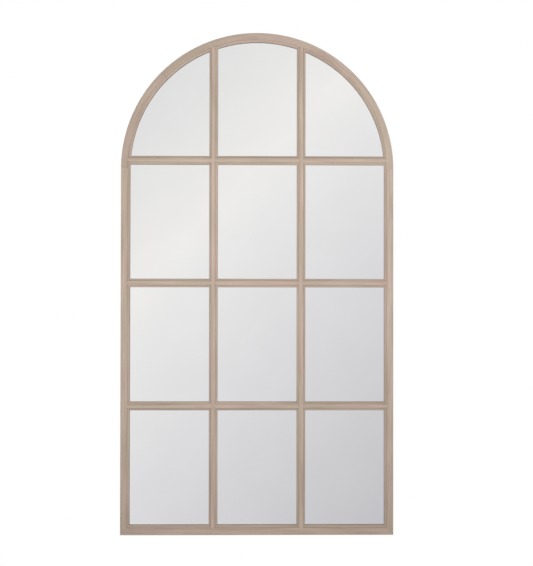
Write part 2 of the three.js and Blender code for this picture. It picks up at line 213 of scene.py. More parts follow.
class FinishColours(bpy.types.PropertyGroup):
    """Colours, as linear light."""

    wash_light: colour("Light wash", "Where the whitewash lies thick", (0.605, 0.488, 0.404))
    # Thin wash, and on the bevels also a little painted shade.
    wash_dark_and_shade: colour("Dark wash", "Where the whitewash is brushed thin", (0.395, 0.308, 0.244))
    wash_pink: colour("Pink wood", "Pinker stretches of the wood", (0.540, 0.405, 0.340))
    wash_olive: colour("Olive wood", "Greener stretches of the wood", (0.470, 0.395, 0.300))
    # Real stain in the pores and on the darker members; in the quirks and along the glass this
    # colour is painted shade.
    stain_and_shade: colour("Stain", "What gathers in the quirks and along the glass", (0.20, 0.15, 0.115))
    bare_wood: colour("Bare wood", "Unfinished backs and tongues", (0.56, 0.39, 0.23))
    bare_grain: colour("Bare grain", "Late wood of the unfinished backs", (0.41, 0.26, 0.14))
    silver: colour("Silver", "What the mirror throws back", (0.915, 0.922, 0.926))
    hardboard: colour("Hardboard", "Pressed fibre of the back", (0.155, 0.082, 0.042))
    foam: colour("Foam", "Packing between the glass and the board", (0.78, 0.77, 0.73))
    zinc: colour("Zinc", "Plated steel", (0.60, 0.61, 0.62))
    rubber: colour("Rubber", "Bumpers", (0.022, 0.022, 0.023))


class StageSettings(bpy.types.PropertyGroup):
    """Camera, lamps and surroundings."""

    camera_distance: length("Camera distance", "From the wall to the camera", 2.75)
    focal_pixels: number("Focal length", "In pixels of the picture", 977.3, least=1.0)
    picture_height: number("Picture height", "In pixels", 566.0, least=1.0)
    lamp_power: number("Lamp power", "Of the soft lamp beside the camera", 18.0, "POWER")
    low_lamp_power: number("Low lamp power", "Of the soft lamp near the floor", 7.0, "POWER")
    back_lamp_power: number("Back lamp power", "Of the soft lamp behind", 18.0, "POWER")
    ambient: number("Ambient light", "How bright the room is for matt surfaces", 0.26)
    floor_drop: length("Floor drop", "From the sill down to the floor", 0.45)
    floor_radius: length("Floor radius", "Of the round floor", 9.0)


# ---- shapes


def of_type(items, kind):
    return [item for item in items if isinstance(item, kind)]


def with_parts(faces):
    """Faces together with their edges and corners, as the operators want them."""
    parts = dict.fromkeys(faces)
    for face in faces:
        parts.update(dict.fromkeys([*face.edges, *face.verts]))
    return list(parts)


def cone(sides, radius, top, deep, matrix):
    """A new bmesh with a closed cone, which lies along Z before the matrix moves it."""
    shape = bmesh.new()
    bmesh.ops.create_cone(
        shape,
        cap_ends=True,
        segments=sides,
        radius1=radius,
        radius2=top,
        depth=deep,
        matrix=matrix,
    )
    return shape


def outlined(corners, place):
    """A new bmesh with one flat face. A corner is (a, b, radius), rounded by that radius, and
    place turns (a, b) into a point. A wide rounding gets more segments than a fine one."""
    shape = bmesh.new()
    points = [shape.verts.new(place(a, b)) for a, b, _ in corners]
    shape.faces.new(points)
    for radius in sorted({corner[2] for corner in corners if corner[2] > 0}):
        chosen = [point for point, corner in zip(points, corners) if corner[2] == radius]
        bmesh.ops.bevel(
            shape,
            geom=chosen,
            offset=radius,
            offset_type="OFFSET",
            segments=6 if radius > MM else 3,
            profile=0.5,
            affect="VERTICES",
            material=-1,
            clamp_overlap=True,
        )
    return shape


def drawn(shape, faces, travel):
    """Draws faces out along a straight line, and gives the end faces."""
    made = bmesh.ops.extrude_face_region(shape, geom=with_parts(faces))["geom"]
    bmesh.ops.translate(shape, verts=of_type(made, bmesh.types.BMVert), vec=travel)
    return of_type(made, bmesh.types.BMFace)


def turned(shape, faces, centre, axis, angle, steps):
    """Draws faces round an axis, and gives the end faces."""
    made = bmesh.ops.spin(
        shape,
        geom=with_parts(faces),
        cent=centre,
        axis=axis,
        angle=angle,
        steps=steps,
        use_merge=False,
        use_duplicate=False,
    )
    return of_type(made["geom_last"], bmesh.types.BMFace)


def sliced(shape, point, outward):
    """Takes off what lies beyond a plane, and closes the cut."""
    cut = bmesh.ops.bisect_plane(
        shape,
        geom=[*shape.verts, *shape.edges, *shape.faces],
        plane_co=point,
        plane_no=outward,
        clear_outer=True,
    )
    rim = of_type(cut["geom_cut"], bmesh.types.BMEdge)
    if rim:
        bmesh.ops.holes_fill(shape, edges=rim, sides=0)


def meshed(shape, name):
    """A bmesh as a mesh with its faces outwards."""
    bmesh.ops.recalc_face_normals(shape, faces=shape.faces)
    mesh = bpy.data.meshes.new(name)
    shape.to_mesh(mesh)
    shape.free()
    return mesh


def shown(name, mesh):
    thing = bpy.data.objects.new(name, mesh)
    bpy.context.scene.collection.objects.link(thing)
    return thing


def settled(thing):
    """An object's mesh with its modifiers applied. The object goes."""
    ready = thing.evaluated_get(bpy.context.evaluated_depsgraph_get())
    mesh = bpy.data.meshes.new_from_object(ready)
    mesh.name = thing.name
    bpy.data.objects.remove(thing)
    return mesh


def carved(mesh, tool, operation="DIFFERENCE"):
    """A mesh without what another mesh fills, with it, or only what both fill."""
    work = shown(mesh.name, mesh)
    cutter = shown("cutter", tool)
    modifier = work.modifiers.new("Carve", "BOOLEAN")
    modifier.object = cutter
    modifier.operation = operation
    modifier.solver = "EXACT"
    made = settled(work)
    bpy.data.objects.remove(cutter)
    return made


def merged(meshes, name):
    """Several meshes that don't touch, as one."""
    shape = bmesh.new()
    for mesh in meshes:
        shape.from_mesh(mesh)
    return meshed(shape, name)


def window_sheet(half, sill, front, back, steps):
    """A flat sheet in the outline of the window: half a disc on a rectangle, drawn back."""
    shape = bmesh.new()
    bmesh.ops.create_circle(shape, cap_ends=True, segments=steps, radius=half)
    bmesh.ops.rotate(
        shape, verts=shape.verts, cent=(0, 0, 0), matrix=Matrix.Rotation(math.pi / 2, 3, "X")
    )
    bmesh.ops.bisect_plane(
        shape,
        geom=[*shape.verts, *shape.edges, *shape.faces],
        plane_co=(0, 0, 0),
        plane_no=(0, 0, -1),
        clear_outer=True,
    )
    bmesh.ops.remove_doubles(shape, verts=shape.verts, dist=TOUCHING)
    foot = [edge for edge in shape.edges if all(abs(v.co.z) < TOUCHING for v in edge.verts)]
    skirt = bmesh.ops.extrude_edge_only(shape, edges=foot)["geom"]
    bmesh.ops.translate(
        shape, verts=of_type(skirt, bmesh.types.BMVert), vec=(0, 0, sill - SPRINGING)
    )
    bmesh.ops.dissolve_faces(shape, faces=shape.faces[:])
    bmesh.ops.translate(shape, verts=shape.verts, vec=(0, front, SPRINGING))
    drawn(shape, shape.faces[:], (0, back - front, 0))
    return shape


def rounded(shape, chosen, width, segments):
    """Rounds the edges that pass a test."""
    bmesh.ops.bevel(
        shape,
        geom=[edge for edge in shape.edges if chosen(edge)],
        offset=width,
        offset_type="OFFSET",
        segments=segments,
        profile=0.5,
        affect="EDGES",
        material=-1,
        clamp_overlap=True,
    )


def sharp(edge):
    return len(edge.link_faces) == 2 and edge.calc_face_angle() > SHARP_ABOVE


def finished(name, mesh, material, body, nodes):
    """Puts a piece on its body in place of its nodes."""
    mesh.name = name
    mesh.materials.clear()
    mesh.materials.append(material)
    mesh.shade_smooth()
    mesh.set_sharp_from_angle(angle=SMOOTH_BELOW)
    piece = shown(name, mesh)
    piece.modifiers.new("Even shading", "WEIGHTED_NORMAL").keep_sharp = True
    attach(piece, body)
    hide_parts(*nodes)
    return piece


def redressed(node, material):
    """A node of the frame keeps its shape and gets a finish."""
    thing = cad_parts[node]
    for place in thing.material_slots:
        place.material = material


# ---- wood


def bar_half(sizes):
    return sizes.mirror_bars.width / 2


def bar_flat_half(sizes):
    """Half of the flat between a bar's two quirks."""
    return bar_half(sizes) - sizes.mirror_bars.bevel_width


def glass_drop():
    """From the face back to the glass."""
    return GLASS_FRONT - FACE


def moulding_section(sizes, stretch=1.0):
    """The moulding as (in from the outer edge, back from the face, rounding)."""
    m = sizes.mirror_moulding
    deep = FRAME_BACK - FACE
    rabbet = m.stile_width - m.lip_width
    corners = [
        (0, deep, m.softening),
        (0, 0, m.arris_radius),
        (m.stile_width - m.bevel_width, 0, m.softening),
        (m.stile_width - m.bevel_width, m.quirk_depth, 0),
        (m.stile_width, m.quirk_depth + m.bevel_drop, m.softening),
        (m.stile_width, glass_drop(), 0),
        (rabbet, glass_drop(), 0),
        (rabbet, deep, 0),
    ]
    return [(inward * stretch, back, rounding) for inward, back, rounding in corners]


def bar_section(sizes, clearance=0.0):
    """A bar as (sideways, back from the face, rounding). With a clearance it is the housing for
    such a bar, open to the front and to the back."""
    m = sizes.mirror_moulding
    half = bar_half(sizes)
    flat = bar_flat_half(sizes)
    slope = m.bevel_drop / (half - flat)
    lift = clearance * math.hypot(1, slope)
    over = 1 * MM
    soft = 0 if clearance else m.softening
    low = m.quirk_depth - lift + clearance * slope
    right = [
        (flat + clearance, -over if clearance else 0, soft),
        (flat + clearance, low, 0),
        (half + clearance, low + m.bevel_drop, soft),
        (half + clearance, FRAME_BACK - FACE + over if clearance else glass_drop(), 0),
    ]
    return right + [(-side, back, rounding) for side, back, rounding in reversed(right)]


def upright_stick(sizes, place, clearance=0.0):
    section = bar_section(sizes, clearance)
    shape = outlined(section, lambda side, back: (place + side, FACE + back, SILL))
    drawn(shape, shape.faces[:], (0, 0, CROWN - SILL))
    return meshed(shape, "upright")


def cross_stick(sizes, height, clearance=0.0):
    section = bar_section(sizes, clearance)
    shape = outlined(section, lambda side, back: (-HALF_WIDTH, FACE + back, height + side))
    drawn(shape, shape.faces[:], (2 * HALF_WIDTH, 0, 0))
    return meshed(shape, "cross")


def upright_core(sizes, place, clearance):
    """The middle of an upright bar in front of the halving plane."""
    m = sizes.mirror_moulding
    half = bar_flat_half(sizes) + clearance
    over = 2 * MM
    corners = [
        (-half, -over, 0),
        (half, -over, 0),
        (half, m.quirk_depth + m.bevel_drop, 0),
        (-half, m.quirk_depth + m.bevel_drop, 0),
    ]
    shape = outlined(corners, lambda side, back: (place + side, FACE + back, SILL))
    drawn(shape, shape.faces[:], (0, 0, CROWN - SILL))
    return meshed(shape, "core")


def reach(sizes, clearance=0.0):
    """What the bars may fill: they end where the frame's flat begins."""
    m = sizes.mirror_moulding
    inset = m.stile_width - m.bevel_width
    stretch = m.rail_width / m.stile_width
    over = 3 * MM
    shape = window_sheet(
        HALF_WIDTH - inset + clearance,
        SILL + inset * stretch - clearance,
        FACE - over,
        FRAME_BACK + over,
        sizes.mirror_sheets.outline_steps,
    )
    return meshed(shape, "reach")


def housing(sizes, sticks):
    """The hollow for bars' ends in the lip of the frame."""
    clearance = sizes.mirror_moulding.glue_line
    return carved(merged(sticks, "housing"), reach(sizes, clearance), "INTERSECT")


def wooden(sizes, name, mesh, along, inward):
    """Puts a member on the mirror, with a place in the wood for each corner: along the grain,
    across it and back from the face."""
    tone = mesh.attributes.new("stained", "FLOAT", "POINT")
    tone.data.foreach_set("value", [STAINED.get(name, 0.0)] * len(mesh.vertices))
    grain = mesh.attributes.new("grain", "FLOAT_VECTOR", "POINT")
    places = []
    for vertex in mesh.vertices:
        places += [CUT_AT[name] + along(vertex.co), inward(vertex.co), vertex.co.y - FACE]
    grain.data.foreach_set("vector", places)
    wood = whitewashed_wood(sizes.mirror_colours)
    finished(name + "_wood", mesh, wood, "mirror", [name])


def corner_rounded(shape, side, radius, steps=6):
    """Rounds the frame's outer edge at a lower corner, plane by plane."""
    centre = Vector((side * (HALF_WIDTH - radius), 0, SILL + radius))
    for i in range(steps):
        turn = (i + 0.5) / steps * math.pi / 2
        outward = Vector((side * math.cos(turn), 0, -math.sin(turn)))
        sliced(shape, centre + outward * radius, outward)


def mitre(sizes, side, gap):
    """A point on a lower mitre, and the direction square to it, up the stile."""
    m = sizes.mirror_moulding
    corner = Vector((side * HALF_WIDTH, 0, SILL))
    square = Vector((side * m.rail_width, 0, m.stile_width)).normalized()
    return corner + square * gap, square


def stile_shape(sizes, side):
    section = moulding_section(sizes)
    shape = outlined(
        section, lambda inward, back: (side * (HALF_WIDTH - inward), FACE + back, SILL)
    )
    drawn(shape, shape.faces[:], (0, 0, SPRINGING - SILL))
    point, square = mitre(sizes, side, sizes.mirror_moulding.glue_line)
    sliced(shape, point, -square)
    corner_rounded(shape, side, sizes.mirror_moulding.corner_radius)
    return shape


def rail_shape(sizes):
    m = sizes.mirror_moulding
    section = moulding_section(sizes, m.rail_width / m.stile_width)
    shape = outlined(section, lambda inward, back: (-HALF_WIDTH, FACE + back, SILL + inward))
    drawn(shape, shape.faces[:], (2 * HALF_WIDTH, 0, 0))
    for side in (-1, 1):
        point, square = mitre(sizes, side, 0)
        sliced(shape, point, square)
        corner_rounded(shape, side, m.corner_radius)
    return shape


def segment_shape(sizes, index):
    """One segment of the arch, from the right foot over the crown to the left."""
    m = sizes.mirror_moulding
    share = math.pi / ARCH_SEGMENTS
    gap = m.glue_line / 2 / (HALF_WIDTH - m.stile_width / 2)
    start, end = index * share, (index + 1) * share
    if (2 * index) % ARCH_SEGMENTS:
        start += gap
    if (2 * index + 2) % ARCH_SEGMENTS:
        end -= gap
    section = moulding_section(sizes)
    shape = outlined(
        section, lambda inward, back: (HALF_WIDTH - inward, FACE + back, SPRINGING)
    )
    centre = (0, 0, SPRINGING)
    bmesh.ops.rotate(
        shape, verts=shape.verts, cent=centre, matrix=Matrix.Rotation(-start, 3, "Y")
    )
    turned(shape, shape.faces[:], centre, (0, -1, 0), end - start, m.arch_steps)
    return shape


def way_round(point):
    """How far round the arch a point lies, as a length at the outer edge."""
    return math.acos(point.x / math.hypot(point.x, point.z - SPRINGING)) * HALF_WIDTH


def inward_of_arch(point):
    return HALF_WIDTH - math.hypot(point.x, point.z - SPRINGING)


def make_stiles(sizes):
    clearance = sizes.mirror_moulding.glue_line
    for name, side in (("left_stile", -1), ("right_stile", 1)):
        ends = [cross_stick(sizes, height, clearance) for height in CROSSES[:2]]
        mesh = carved(meshed(stile_shape(sizes, side), name), housing(sizes, ends))
        wooden(sizes, name, mesh, lambda p: p.z, lambda p: HALF_WIDTH - side * p.x)


def make_rail(sizes):
    clearance = sizes.mirror_moulding.glue_line
    ends = [upright_stick(sizes, place, clearance) for place in UPRIGHTS]
    mesh = carved(meshed(rail_shape(sizes), "bottom_rail"), housing(sizes, ends))
    wooden(sizes, "bottom_rail", mesh, lambda p: p.x, lambda p: p.z - SILL)


def make_arch(sizes):
    clearance = sizes.mirror_moulding.glue_line
    for index in range(ARCH_SEGMENTS):
        name = "arch_segment_%d" % (index + 1)
        if index in (0, ARCH_SEGMENTS - 1):
            ends = cross_stick(sizes, CROSSES[-1], clearance)
        else:
            ends = upright_stick(sizes, UPRIGHTS[1 if index == 1 else 0], clearance)
        mesh = carved(meshed(segment_shape(sizes, index), name), housing(sizes, [ends]))
        wooden(sizes, name, mesh, way_round, inward_of_arch)


def make_bars(sizes):
    clearance = sizes.mirror_moulding.glue_line
    for i, height in enumerate(CROSSES):
        name = "cross_bar_%d" % (i + 1)
        cores = merged([upright_core(sizes, place, clearance) for place in UPRIGHTS], "cores")
        mesh = carved(cross_stick(sizes, height), reach(sizes), "INTERSECT")
        mesh = carved(mesh, cores)
        wooden(sizes, name, mesh, lambda p: p.x, lambda p: p.z - height + HEART)
    for i, place in enumerate(UPRIGHTS):
        name = "upright_bar_%d" % (i + 1)
        notches = merged([cross_stick(sizes, z, clearance) for z in CROSSES], "notches")
        notches = carved(notches, upright_core(sizes, place, 0.0))
        mesh = carved(upright_stick(sizes, place), reach(sizes), "INTERSECT")
        mesh = carved(mesh, notches)
        wooden(sizes, name, mesh, lambda p: p.z, lambda p: p.x - place + HEART)


# ---- sheets


def sheet_of(node, steps):
    """A sheet with a node's outline."""
    low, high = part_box(node)
    return window_sheet(high.x, low.z, low.y, high.y, steps)


def make_glass(sizes):
    shape = sheet_of("mirror_plate", sizes.mirror_sheets.outline_steps)
    rounded(shape, sharp, sizes.mirror_sheets.glass_arris, 1)
    mesh = meshed(shape, "mirror_plate")
    silver = silvered_glass(sizes.mirror_colours)
    finished("mirror_plate_glass", mesh, silver, "mirror", ["mirror_plate"])


def screw_hole(sizes, node):
    """The hole that a screw fills, a little wider than its shank."""
    low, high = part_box(node)
    radius = sizes.mirror_fittings.shank_radius + sizes.mirror_fittings.hole_clearance
    lie = Matrix.Translation((low + high) / 2) @ Matrix.Rotation(math.pi / 2, 4, "X")
    return meshed(cone(HOLE_SIDES, radius, radius, high.y - low.y, lie), "hole")


def make_board(sizes):
    shape = sheet_of("backing_board", sizes.mirror_sheets.outline_steps)
    rounded(shape, sharp, sizes.mirror_sheets.board_softening, 3)
    holes = merged([screw_hole(sizes, name) for name in SCREWS], "holes")
    mesh = carved(meshed(shape, "backing_board"), holes)
    board = hardboard(sizes.mirror_colours)
    finished("backing_board_sheet", mesh, board, "mirror", ["backing_board"])
    redressed("packing_sheet", packing_foam(sizes.mirror_colours))


def make_tongues(sizes):
    wood = bare_wood(sizes.mirror_colours)
    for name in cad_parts:
        if name.startswith("tongue_"):
            redressed(name, wood)


# ---- fittings


def recess_blade(sizes, quarter):
    """One slot of a cross recess, narrower at the bottom, below the origin."""
    f = sizes.mirror_fittings
    foot = 0.45
    shape = cone(4, foot, math.sqrt(0.5), 1, Matrix.Rotation(math.pi / 4, 4, "Z"))
    over = 0.3 * MM
    deep = f.recess_depth + over
    bmesh.ops.scale(shape, verts=shape.verts, vec=(2 * f.recess_arm, f.recess_width, deep))
    bmesh.ops.translate(shape, verts=shape.verts, vec=(0, 0, over - deep / 2))
    turn = Matrix.Rotation(quarter * math.pi / 2, 3, "Z")
    bmesh.ops.rotate(shape, verts=shape.verts, cent=(0, 0, 0), matrix=turn)
    return meshed(shape, "recess")


def screw_mesh(sizes, long, head_radius):
    """A pan-head screw with its head up and its seat at the origin."""
    f = sizes.mirror_fittings
    lift = Matrix.Translation((0, 0, f.head_height / 2))
    head = cone(HEAD_SIDES, head_radius, head_radius, f.head_height, lift)
    rounded(
        head,
        lambda edge: sharp(edge) and all(v.co.z > f.head_height / 2 for v in edge.verts),
        f.head_rounding,
        6,
    )
    seat = [face for face in head.faces if face.normal.z < -0.9]
    bmesh.ops.inset_region(
        head, faces=seat, thickness=head_radius - f.shank_radius, use_even_offset=True
    )
    tip = 1.5 * f.shank_radius
    blunt = 0.08
    end = drawn(head, seat, (0, 0, tip - long))
    end = drawn(head, end, (0, 0, -tip))
    bmesh.ops.scale(
        head, verts=[v for face in end for v in face.verts], vec=(blunt, blunt, 1)
    )
    mesh = meshed(head, "screw")
    for quarter in (0, 1):
        blade = recess_blade(sizes, quarter)
        blade.transform(Matrix.Translation((0, 0, f.head_height)))
        mesh = carved(mesh, blade)
    return mesh


def make_screws(sizes):
    steel = zinced_steel(sizes.mirror_colours)
    for i, node in enumerate(SCREWS):
        low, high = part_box(node)
        seat = high.y - sizes.mirror_fittings.head_height
        mesh = screw_mesh(sizes, seat - low.y, (high.z - low.z) / 2)
        place = Vector((middle(node, X), seat, middle(node, Z)))
        lie = Matrix.Rotation(-math.pi / 2, 4, "X") @ Matrix.Rotation(SCREW_TURN * i, 4, "Z")
        mesh.transform(Matrix.Translation(place) @ lie)
        finished(node + "_steel", mesh, steel, "mirror", [node])


def pin_line(sizes, side):
    """The middle of a hanger's pin."""
    node = side + "_d_ring"
    height = span(node, Z)[1] - sizes.mirror_fittings.wire_radius
    return Vector((middle(node, X), middle(node, Y), height))


def strap_mesh(sizes, side):
    """A flat leg that runs up into a roll round the pin."""
    f = sizes.mirror_fittings
    node = side + "_hanger_strap"
    pin = pin_line(sizes, side)
    half = extent(node, X) / 2
    foot = span(node, Z)[0]
    outer = f.wire_radius + f.pin_clearance + f.strap_thickness
    strip = [
        (-half, 0, f.strap_softening),
        (half, 0, f.strap_softening),
        (half, f.strap_thickness, f.strap_softening),
        (-half, f.strap_thickness, f.strap_softening),
    ]
    shape = outlined(strip, lambda across, back: (pin.x + across, pin.y - outer + back, foot))
    end = drawn(shape, shape.faces[:], (0, 0, pin.z - foot))
    short = outer - f.strap_thickness - f.knuckle_slit
    sweep = math.pi + math.acos(-short / outer)
    turned(shape, end, pin, (-1, 0, 0), sweep, KNUCKLE_STEPS)
    mesh = meshed(shape, node)
    lie = Matrix.Translation((pin.x, pin.y, foot + half)) @ Matrix.Rotation(math.pi / 2, 4, "X")
    rounding = cone(STRAP_END_SIDES, half, half, 5 * outer, lie)
    upper = [v for v in rounding.verts if v.co.z > foot + half]
    past_the_knuckle = 80 * MM
    bmesh.ops.translate(rounding, verts=upper, vec=(0, 0, past_the_knuckle))
    mesh = carved(mesh, meshed(rounding, "rounding"), "INTERSECT")
    holes = [screw_hole(sizes, name) for name in SCREWS if name.startswith(side)]
    return carved(mesh, merged(holes, "holes"))


def ring_mesh(sizes, side):
    """A round wire bent to a D, from the middle of its straight side round to it again."""
    f = sizes.mirror_fittings
    node = side + "_d_ring"
    pin = pin_line(sizes, side)
    half = extent(node, X) / 2 - f.wire_radius
    drop = extent(node, Z) - 2 * f.wire_radius
    corner = f.ring_corner
    shape = bmesh.new()
    bmesh.ops.create_circle(
        shape,
        cap_ends=True,
        segments=WIRE_SIDES,
        radius=f.wire_radius,
        matrix=Matrix.Translation(pin + Vector((f.butt_gap / 2, 0, 0)))
        @ Matrix.Rotation(math.pi / 2, 4, "Y"),
    )
    round_axis = (0, 1, 0)
    bend = pin + Vector((half - corner, 0, -corner))
    base = pin + Vector((0, 0, half - drop))
    end = drawn(shape, shape.faces[:], (half - corner - f.butt_gap / 2, 0, 0))
    end = turned(shape, end, bend, round_axis, math.pi / 2, RING_CORNER_STEPS)
    end = drawn(shape, end, (0, 0, base.z - bend.z))
    end = turned(shape, end, base, round_axis, math.pi, RING_BOW_STEPS)
    end = drawn(shape, end, (0, 0, bend.z - base.z))
    bend.x -= 2 * (half - corner)
    end = turned(shape, end, bend, round_axis, math.pi / 2, RING_CORNER_STEPS)
    drawn(shape, end, (half - corner - f.butt_gap / 2, 0, 0))
    return meshed(shape, node)


def make_hangers(sizes):
    steel = zinced_steel(sizes.mirror_colours)
    for side, body in RING_BODIES.items():
        strap, ring = side + "_hanger_strap", side + "_d_ring"
        mesh = strap_mesh(sizes, side)
        finished(strap + "_steel", mesh, steel, "mirror", [strap])
        mesh = ring_mesh(sizes, side)
        finished(ring + "_wire", mesh, steel, body, [ring])


def make_bumpers(sizes):
    rubber = black_rubber(sizes.mirror_colours)
    for node in ("left_bumper", "right_bumper"):
        low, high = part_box(node)
        radius = (high.x - low.x) / 2
        top = radius * sizes.mirror_fittings.bumper_taper
        lie = Matrix.Translation((low + high) / 2) @ Matrix.Rotation(-math.pi / 2, 4, "X")
        shape = cone(BUMPER_SIDES, radius, top, high.y - low.y, lie)
        rounded(shape, sharp, sizes.mirror_fittings.bumper_rounding, 5)
        mesh = meshed(shape, node)
        finished(node + "_rubber", mesh, rubber, "mirror", [node])


# ---- finishes


class Shade:
    """A socket that carries a value over a surface. Arithmetic on it adds Math nodes."""

    def __init__(self, tree, socket):
        self.tree = tree
        self.socket = socket

    def node(self, kind, settings=None, sockets=None, output=0):
        """Adds a node, sets it, fills its sockets with values or links, and gives an output."""
        made = self.tree.nodes.new("ShaderNode" + kind)
        for name, value in (settings or {}).items():
            if name == "stops":
                for stop, (place, tint) in zip(ramp_stops(made, len(value)), value):
                    stop.position = place
                    stop.color = (*tint, 1)
            else:
                setattr(made, name, value)
        for name, value in (sockets or {}).items():
            socket = socket_of(made, name)
            if isinstance(value, Shade):
                self.tree.links.new(value.socket, socket)
            else:
                socket.default_value = value
        return Shade(self.tree, made.outputs[output]) if len(made.outputs) else made

    def maths(self, operation, first, second):
        sockets = {0: first, 1: second}
        return self.node("Math", {"operation": operation}, sockets)

    def __add__(self, other):
        return self.maths("ADD", self, other)

    def __radd__(self, other):
        return self.maths("ADD", other, self)

    def __sub__(self, other):
        return self.maths("SUBTRACT", self, other)

    def __rsub__(self, other):
        return self.maths("SUBTRACT", other, self)

    def __mul__(self, other):
        return self.maths("MULTIPLY", self, other)

    def __rmul__(self, other):
        return self.maths("MULTIPLY", other, self)

    def __abs__(self):
        return self.maths("ABSOLUTE", self, 0.0)

    def band(self, low, high):
        """Rises smoothly from 0 at low to 1 at high, or falls where low is the higher."""
        first, last = (0.0, 1.0) if low < high else (1.0, 0.0)
        sockets = {0: self, 1: min(low, high), 2: max(low, high), 3: first, 4: last}
        return self.node("MapRange", {"interpolation_type": "SMOOTHSTEP"}, sockets)

    def place(self):
        """Where a point lies on its object."""
        return self.node("TexCoord", None, None, 3)

    def part(self, axis):
        """One part of a vector."""
        return self.node("SeparateXYZ", None, {"Vector": self}, axis)

    def noise(self, scale, detail=2.0, roughness=0.5):
        """Noise at a vector that is stretched by a scale along each axis."""
        placed = self.node("Mapping", None, {"Vector": self, "Scale": scale})
        sockets = {"Vector": placed, "Scale": 1.0, "Detail": detail, "Roughness": roughness}
        return self.node("TexNoise", None, sockets)

    def mix(self, low, high):
        """This share of a colour over another."""
        sockets = {"Factor_Float": self, "A_Color": rgba(low), "B_Color": rgba(high)}
        return self.node("Mix", {"data_type": "RGBA"}, sockets, output=2)


def rgba(tint):
    return tint if isinstance(tint, Shade) else (*tint, 1.0)


def ramp_stops(ramp, count):
    stops = ramp.color_ramp.elements
    while len(stops) < count:
        stops.new(1.0)
    return stops


def socket_of(node, name):
    """A node's input by its number, identifier or name."""
    if isinstance(name, int):
        return node.inputs[name]
    for socket in node.inputs:
        if socket.identifier == name:
            return socket
    return node.inputs[name]


def finish(name):
    """Turns a function that gives a surface's sockets into one that gives the material of that
    name, built once."""

    def turn(build):
        def material_with(colours):
            if name in bpy.data.materials:
                return bpy.data.materials[name]
            material = bpy.data.materials.new(name)
            material.use_nodes = True
            tree = material.node_tree
            surface = tree.nodes["Principled BSDF"]
            for socket, value in build(Shade(tree, None), colours).items():
                if isinstance(value, Shade):
                    tree.links.new(value.socket, surface.inputs[socket])
                else:
                    surface.inputs[socket].default_value = value
            return material

        return material_with

    return turn


def bumped(height, distance, strength=1.0):
    sockets = {"Height": height, "Distance": distance, "Strength": strength}
    return height.node("Bump", None, sockets)


@finish("Whitewashed wood")
def whitewashed_wood(start, c):
    """Whitewash brushed along the grain, thin on the edges; painted shade in the quirks, on the
    bevels and along the glass.
    """
    grain = start.node("Attribute", {"attribute_name": "grain"}, None, 1)
    across, depth = grain.part(Y), grain.part(Z)
    patches = grain.noise((3.5, 45, 45), 2.0).band(0.36, 0.64)
    hue = grain.noise((5.0, 18, 18), 1.0).band(0.40, 0.60)
    streaks = grain.noise((8, 150, 150), 3.0, 0.45).band(0.35, 0.65)
    fibres = grain.noise((40, 1500, 1500), 2.0, 0.5).band(0.35, 0.70)
    pores = grain.noise((75, 3400, 3400), 1.0).band(0.60, 0.72)
    washed = (0.62 * streaks + 0.38 * patches).mix(c.wash_dark_and_shade, c.wash_light)
    tinted = hue.mix(c.wash_pink, c.wash_olive)
    tint_share = 0.38
    sockets = {"Factor_Float": tint_share, "A_Color": washed, "B_Color": tinted}
    body = start.node("Mix", {"data_type": "RGBA"}, sockets, 2)
    body = (0.14 * fibres).mix(body, c.wash_dark_and_shade)
    body = (0.18 * pores).mix(body, c.stain_and_shade)
    inside = across.band(1.6 * MM, 2.6 * MM)
    bevel = depth.band(0.6 * MM, 1.6 * MM)
    # Where painted shade goes in the quirk's step between the flat and the bevel.
    quirk = depth.band(0.25 * MM, 0.7 * MM) * depth.band(1.7 * MM, 0.9 * MM)
    # Where painted shade goes along the glass, on the lip's inner wall.
    rim = depth.band(6.5 * MM, 10.2 * MM)
    arris = depth.band(0.1 * MM, 0.9 * MM) * depth.band(3.0 * MM, 1.2 * MM) * (1 - inside)
    stained = start.node("Attribute", {"attribute_name": "stained"}, None, 2)
    body = stained.mix(body, c.stain_and_shade)
    # The bevel: thinner wash with a little painted shade; the arris: wash worn thin.
    body = (0.10 * bevel * inside + 0.25 * arris).mix(body, c.wash_dark_and_shade)
    # Painted shade in the quirks and along the glass.
    body = (0.65 * quirk * inside).mix(body, c.stain_and_shade)
    body = (0.80 * rim * inside).mix(body, c.stain_and_shade)
    back = depth.band(16.6 * MM, 16.95 * MM)
    bare = streaks.mix(c.bare_wood, c.bare_grain)
    body = back.mix(body, bare)
    height = 0.5 * fibres + 0.35 * streaks - 0.5 * pores
    return {
        "Base Color": body,
        "Roughness": 0.58 + 0.16 * fibres,
        "Normal": bumped(height, 0.06 * MM, 0.6),
    }


@finish("Bare wood")
def bare_wood(start, c):
    """Planed wood without a finish."""
    place = start.place()
    rings = place.noise((500, 40, 500), 2.0).band(0.38, 0.62)
    fibres = place.noise((2600, 90, 2600), 1.0).band(0.4, 0.7)
    return {
        "Base Color": (0.3 * fibres).mix(rings.mix(c.bare_wood, c.bare_grain), c.bare_grain),
        "Roughness": 0.7 + 0.15 * fibres,
        "Normal": bumped(fibres, 0.05 * MM),
    }


@finish("Silvered glass")
def silvered_glass(start, c):
    """Silver behind clear glass: nearly even, with the faint cloudiness of real plate."""
    place = start.place()
    cloud = place.noise((9, 9, 9), 2.0).band(0.3, 0.7)
    dim = tuple(0.985 * part for part in c.silver)
    return {
        "Base Color": cloud.mix(dim, c.silver),
        "Metallic": 1.0,
        "Roughness": 0.012 + 0.012 * cloud,
    }


